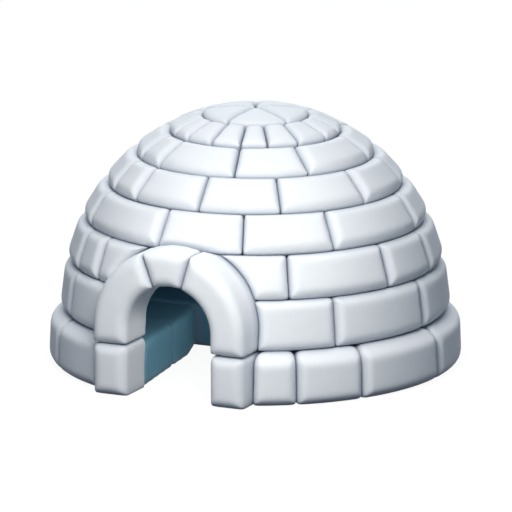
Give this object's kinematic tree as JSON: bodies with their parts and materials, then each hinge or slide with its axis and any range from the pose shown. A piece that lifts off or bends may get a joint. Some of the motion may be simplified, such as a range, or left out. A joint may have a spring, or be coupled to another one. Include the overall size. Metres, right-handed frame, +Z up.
{
  "type": "snow block igloo",
  "caption": "Hollow domed shelter of rounded snow blocks in rings, with an arched doorway in a thick surround and low snow benches round a standing trench inside",
  "frame": {"origin": "centre of the dome's base circle, on the ground", "axes": "+Z up, the doorway faces -Y, +X is on the right of the doorway seen from the front"},
  "size_m": [3.5939, 3.5969, 2.235],
  "materials": {
    "packed_snow": "matte wind-packed snow, faintly grainy",
    "bench_snow": "matte blue-shadowed snow, trodden smooth"
  },
  "bodies": {
    "root": {"arch_haunch_left": "packed_snow", "arch_haunch_right": "packed_snow", "arch_keystone": "packed_snow", "base_course_back_left": "packed_snow", "base_course_back_right": "packed_snow", "base_course_front_left": "packed_snow", "base_course_front_right": "packed_snow", "bench_left": "bench_snow", "bench_rear": "bench_snow", "bench_right": "bench_snow", "crown_wedges": "packed_snow", "fifth_course_back_left": "packed_snow", "fifth_course_back_right": "packed_snow", "fifth_course_front_left": "packed_snow", "fifth_course_front_right": "packed_snow", "fourth_course_back_left": "packed_snow", "fourth_course_back_right": "packed_snow", "fourth_course_front_left": "packed_snow", "fourth_course_front_right": "packed_snow", "jamb_left": "packed_snow", "jamb_right": "packed_snow", "second_course_back_left": "packed_snow", "second_course_back_right": "packed_snow", "second_course_front_left": "packed_snow", "second_course_front_right": "packed_snow", "seventh_course_back_left": "packed_snow", "seventh_course_back_right": "packed_snow", "seventh_course_front_left": "packed_snow", "seventh_course_front_right": "packed_snow", "sixth_course_back_left": "packed_snow", "sixth_course_back_right": "packed_snow", "sixth_course_front_left": "packed_snow", "sixth_course_front_right": "packed_snow", "third_course_back_left": "packed_snow", "third_course_back_right": "packed_snow", "third_course_front_left": "packed_snow", "third_course_front_right": "packed_snow"}
  },
  "joints": []
}
